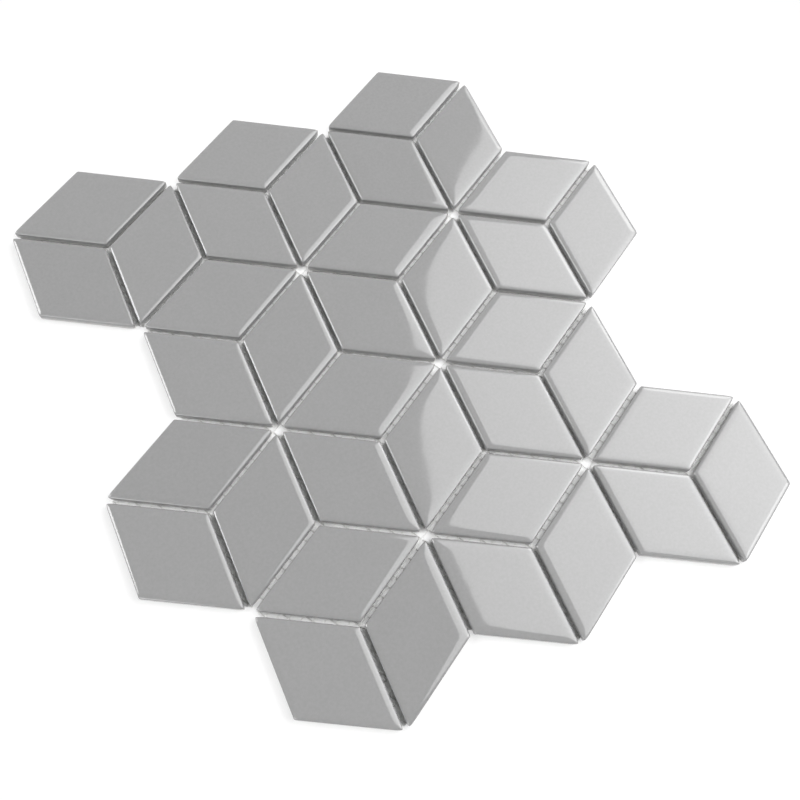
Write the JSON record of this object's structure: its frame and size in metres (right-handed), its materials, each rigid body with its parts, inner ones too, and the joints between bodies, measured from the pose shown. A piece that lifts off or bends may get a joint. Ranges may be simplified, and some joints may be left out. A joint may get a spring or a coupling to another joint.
{
  "type": "rhombus mosaic tile sheet",
  "caption": "Net-backed sheet of glossy grey rhombus porcelain tiles in a tumbling-cube pattern with open joints, for covering walls and floors.",
  "frame": {"origin": "underside of the net, in the middle of the sheet", "axes": "+X along the rows of cubes, +Y the way the cubes' top tiles point, +Z out of the glazed face"},
  "size_m": [0.3072, 0.3275, 0.0054],
  "materials": {
    "glazed_porcelain": "glossy grey glaze on the face, bare fired body on the sides and back",
    "glass_fibre_net": "white resin-dressed glass-fibre yarn"
  },
  "bodies": {
    "root": {"tile_row1_cube1_top": "glazed_porcelain", "tile_row1_cube1_left": "glazed_porcelain", "tile_row1_cube1_right": "glazed_porcelain", "tile_row1_cube2_top": "glazed_porcelain", "tile_row1_cube2_left": "glazed_porcelain", "tile_row1_cube2_right": "glazed_porcelain", "tile_row1_cube3_top": "glazed_porcelain", "tile_row1_cube3_left": "glazed_porcelain", "tile_row1_cube3_right": "glazed_porcelain", "tile_row2_cube1_top": "glazed_porcelain", "tile_row2_cube1_left": "glazed_porcelain", "tile_row2_cube1_right": "glazed_porcelain", "tile_row2_cube2_top": "glazed_porcelain", "tile_row2_cube2_left": "glazed_porcelain", "tile_row2_cube2_right": "glazed_porcelain", "tile_row2_cube3_top": "glazed_porcelain", "tile_row2_cube3_left": "glazed_porcelain", "tile_row2_cube3_right": "glazed_porcelain", "tile_row3_cube1_top": "glazed_porcelain", "tile_row3_cube1_left": "glazed_porcelain", "tile_row3_cube1_right": "glazed_porcelain", "tile_row3_cube2_top": "glazed_porcelain", "tile_row3_cube2_left": "glazed_porcelain", "tile_row3_cube2_right": "glazed_porcelain", "tile_row3_cube3_top": "glazed_porcelain", "tile_row3_cube3_left": "glazed_porcelain", "tile_row3_cube3_right": "glazed_porcelain", "tile_row4_cube1_top": "glazed_porcelain", "tile_row4_cube1_left": "glazed_porcelain", "tile_row4_cube1_right": "glazed_porcelain", "tile_row4_cube2_top": "glazed_porcelain", "tile_row4_cube2_left": "glazed_porcelain", "tile_row4_cube2_right": "glazed_porcelain", "tile_row4_cube3_top": "glazed_porcelain", "tile_row4_cube3_left": "glazed_porcelain", "tile_row4_cube3_right": "glazed_porcelain", "net_strip1": "glass_fibre_net", "net_strip2": "glass_fibre_net", "net_strip3": "glass_fibre_net", "net_strip4": "glass_fibre_net", "net_strip5": "glass_fibre_net", "net_strip6": "glass_fibre_net", "net_strip7": "glass_fibre_net", "net_strip8": "glass_fibre_net", "net_strip9": "glass_fibre_net", "net_strip10": "glass_fibre_net", "net_strip11": "glass_fibre_net", "net_strip12": "glass_fibre_net"}
  },
  "joints": []
}
